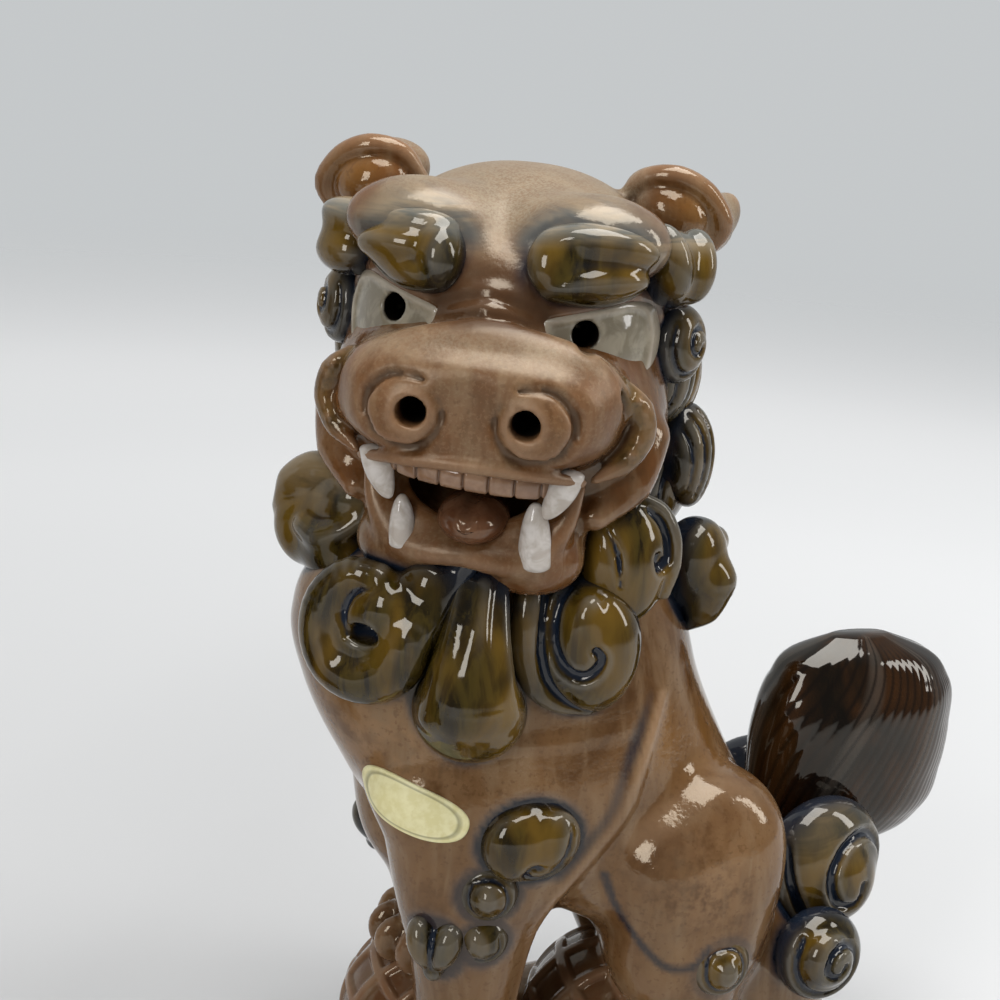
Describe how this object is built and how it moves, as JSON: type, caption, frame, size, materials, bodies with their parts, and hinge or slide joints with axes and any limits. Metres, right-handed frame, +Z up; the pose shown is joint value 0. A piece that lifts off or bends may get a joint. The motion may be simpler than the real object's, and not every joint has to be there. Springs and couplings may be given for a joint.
{
  "type": "foo dog figurine pair",
  "caption": "Pair of seated glazed ceramic guardian lion-dogs with curled manes, an open and a shut mouth, and a forepaw resting on a lattice ball.",
  "frame": {"origin": "on the floor, midway between the dogs and at the middle of their depth", "axes": "+Z up, +X from the shut-mouthed dog to the open-mouthed dog, +Y from their viewed flanks to their far flanks"},
  "size_m": [0.3964, 0.0942, 0.2222],
  "materials": {
    "body_glaze": "glossy mottled brown glaze over red clay",
    "face_glaze": "glossy red-brown glaze, shimmering gold on the crown",
    "curl_glaze": "glassy olive-brown glaze, pooled blue-black in the grooves",
    "plume_glaze": "glassy dark brown glaze over combed lines",
    "ball_glaze": "glossy brown glaze over a raised lattice",
    "white_glaze": "glossy grey-white glaze",
    "tooth_glaze": "glossy tan-white glaze",
    "tongue_glaze": "glossy red-brown glaze",
    "label_paper": "matt pale yellow paper, blank"
  },
  "bodies": {
    "open_mouth_dog": {"open_torso": "body_glaze", "open_head": "face_glaze", "open_lower_jaw": "face_glaze", "open_tongue": "tongue_glaze", "open_upper_teeth": "tooth_glaze", "open_lower_fang_left": "white_glaze", "open_lower_fang_right": "white_glaze", "open_ear_left": "face_glaze", "open_ear_right": "face_glaze", "open_brow_left": "curl_glaze", "open_brow_right": "curl_glaze", "open_brow_end_left": "curl_glaze", "open_brow_end_right": "curl_glaze", "open_eye_left": "white_glaze", "open_eye_right": "white_glaze", "open_chin_tuft": "curl_glaze", "open_chin_curl_left": "curl_glaze", "open_chin_curl_right": "curl_glaze", "open_neck_curl_left": "curl_glaze", "open_neck_curl_right": "curl_glaze", "open_mane_left": "curl_glaze", "open_mane_right": "curl_glaze", "open_mane_back": "curl_glaze", "open_paw_ball": "ball_glaze", "open_foreleg_left": "body_glaze", "open_foreleg_right": "body_glaze", "open_haunch_left": "body_glaze", "open_haunch_right": "body_glaze", "open_belly_ball": "ball_glaze", "open_tail_root": "curl_glaze", "open_tail_plume": "plume_glaze", "open_label": "label_paper"},
    "shut_mouth_dog": {"shut_torso": "body_glaze", "shut_head": "face_glaze", "shut_lower_jaw": "face_glaze", "shut_ear_left": "face_glaze", "shut_ear_right": "face_glaze", "shut_brow_left": "curl_glaze", "shut_brow_right": "curl_glaze", "shut_brow_end_left": "curl_glaze", "shut_brow_end_right": "curl_glaze", "shut_eye_left": "white_glaze", "shut_eye_right": "white_glaze", "shut_chin_tuft": "curl_glaze", "shut_chin_curl_left": "curl_glaze", "shut_chin_curl_right": "curl_glaze", "shut_neck_curl_left": "curl_glaze", "shut_neck_curl_right": "curl_glaze", "shut_mane_left": "curl_glaze", "shut_mane_right": "curl_glaze", "shut_mane_back": "curl_glaze", "shut_paw_ball": "ball_glaze", "shut_foreleg_left": "body_glaze", "shut_foreleg_right": "body_glaze", "shut_haunch_left": "body_glaze", "shut_haunch_right": "body_glaze", "shut_belly_ball": "ball_glaze", "shut_tail_root": "curl_glaze", "shut_tail_plume": "plume_glaze"}
  },
  "joints": [
    {"name": "pair_spacing", "type": "slide", "parent": "open_mouth_dog", "child": "shut_mouth_dog", "axis": [-1, 0, 0], "range_m": [-0.04, 0.25]}
  ]
}
